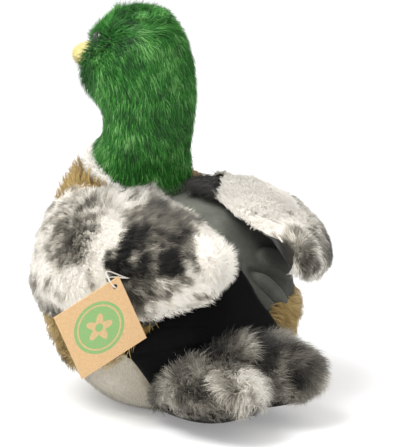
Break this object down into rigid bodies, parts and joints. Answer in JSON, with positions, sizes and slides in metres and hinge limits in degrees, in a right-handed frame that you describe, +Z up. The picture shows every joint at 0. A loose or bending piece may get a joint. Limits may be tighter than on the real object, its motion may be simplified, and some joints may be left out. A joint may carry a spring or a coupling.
{
  "type": "plush duck",
  "caption": "Sitting plush drake with a long-piled green head, thick mottled wings that swing out, a two-lobed tail and a square card tag on a thread.",
  "frame": {"origin": "middle of the footprint, on the surface that the duck sits on", "axes": "+Z up, beak towards -Y, tail towards +Y, the duck's own left side towards +X"},
  "size_m": [0.2062, 0.2016, 0.2272],
  "materials": {
    "filling": "loose polyester fibre",
    "brown_pile": "curly pile, matte",
    "grey_short_pile": "short pile with a soft sheen",
    "black_short_pile": "short pile, matte",
    "cream_short_pile": "short pile, matte",
    "white_pile": "medium pile, matte",
    "green_pile": "long combed pile with a sheen",
    "yellow_short_pile": "short pile, matte",
    "black_plastic": "polished",
    "washer_plastic": "moulded",
    "mottled_pile": "long tipped pile, white, grey and black",
    "kraft_card": "uncoated, matte",
    "white_thread": "twisted thread"
  },
  "bodies": {
    "body": {"body_stuffing": "filling", "breast_left": "brown_pile", "breast_right": "brown_pile", "flank_left": "grey_short_pile", "flank_right": "grey_short_pile", "back_panel": "black_short_pile", "belly_panel": "cream_short_pile", "neck_ring": "white_pile"},
    "head": {"head_left": "green_pile", "head_right": "green_pile", "head_stuffing": "filling", "beak_upper": "yellow_short_pile", "beak_lower": "yellow_short_pile", "eye_left": "black_plastic", "eye_right": "black_plastic", "eye_washer_left": "washer_plastic", "eye_washer_right": "washer_plastic"},
    "wing_left": {"wing_left_outer": "mottled_pile", "wing_left_lining": "grey_short_pile", "wing_left_filling": "filling"},
    "wing_right": {"wing_right_outer": "mottled_pile", "wing_right_lining": "grey_short_pile", "wing_right_filling": "filling"},
    "tail": {"tail_top": "mottled_pile", "tail_underside": "black_short_pile", "tail_filling": "filling"},
    "tag": {"tag_card": "kraft_card", "tag_thread": "white_thread"}
  },
  "joints": [
    {"name": "head_turn", "type": "hinge", "parent": "body", "child": "head", "pos_m": [-0.01042, -0.04957, 0.13364], "axis": [0, 0.309, 0.9511], "range_deg": [-20, 20], "stiffness_Nm_per_rad": 0.05},
    {"name": "wing_left_swing", "type": "hinge", "parent": "body", "child": "wing_left", "pos_m": [0.04183, -0.0644, 0.09287], "axis": [0.1359, -0.1417, -0.9805], "range_deg": [0, 60]},
    {"name": "wing_right_swing", "type": "hinge", "parent": "body", "child": "wing_right", "pos_m": [-0.06267, -0.0644, 0.09287], "axis": [0.1359, 0.1417, 0.9805], "range_deg": [-8, 45]},
    {"name": "tail_lift", "type": "hinge", "parent": "body", "child": "tail", "pos_m": [-0.01042, 0.05712, 0.05874], "axis": [1, 0, 0], "range_deg": [0, 15], "stiffness_Nm_per_rad": 0.05},
    {"name": "tag_swing", "type": "hinge", "parent": "wing_left", "child": "tag", "pos_m": [0.04899, 0.03828, 0.09395], "axis": [0.682, -0.7314, 0], "range_deg": [0, 60]}
  ]
}
